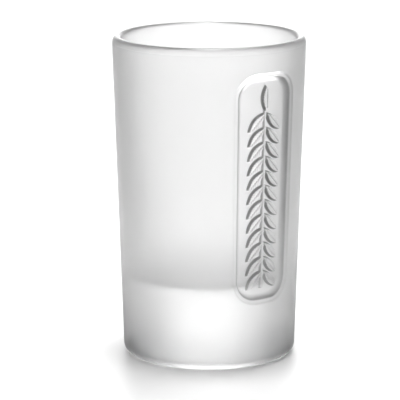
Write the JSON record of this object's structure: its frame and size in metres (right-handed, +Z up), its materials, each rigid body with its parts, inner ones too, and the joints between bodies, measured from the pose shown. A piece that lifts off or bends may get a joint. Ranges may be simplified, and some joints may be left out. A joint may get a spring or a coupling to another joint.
{
  "type": "shot glass",
  "caption": "Tall frosted shot glass with a thick solid base, a rounded rim and a sunk upright panel holding a raised leaf sprig.",
  "frame": {"origin": "centre of the foot, on the plane that the glass stands on", "axes": "+Z up along the axis of the glass to its mouth, -Y out through the middle of the sunk panel, +X to the right of someone facing the panel"},
  "size_m": [0.043, 0.043, 0.072],
  "materials": {
    "etched_glass": "acid-etched satin matt outside, with the hollow and the rounded rim satin too"
  },
  "bodies": {
    "root": {"glass_body": "etched_glass"}
  },
  "joints": []
}
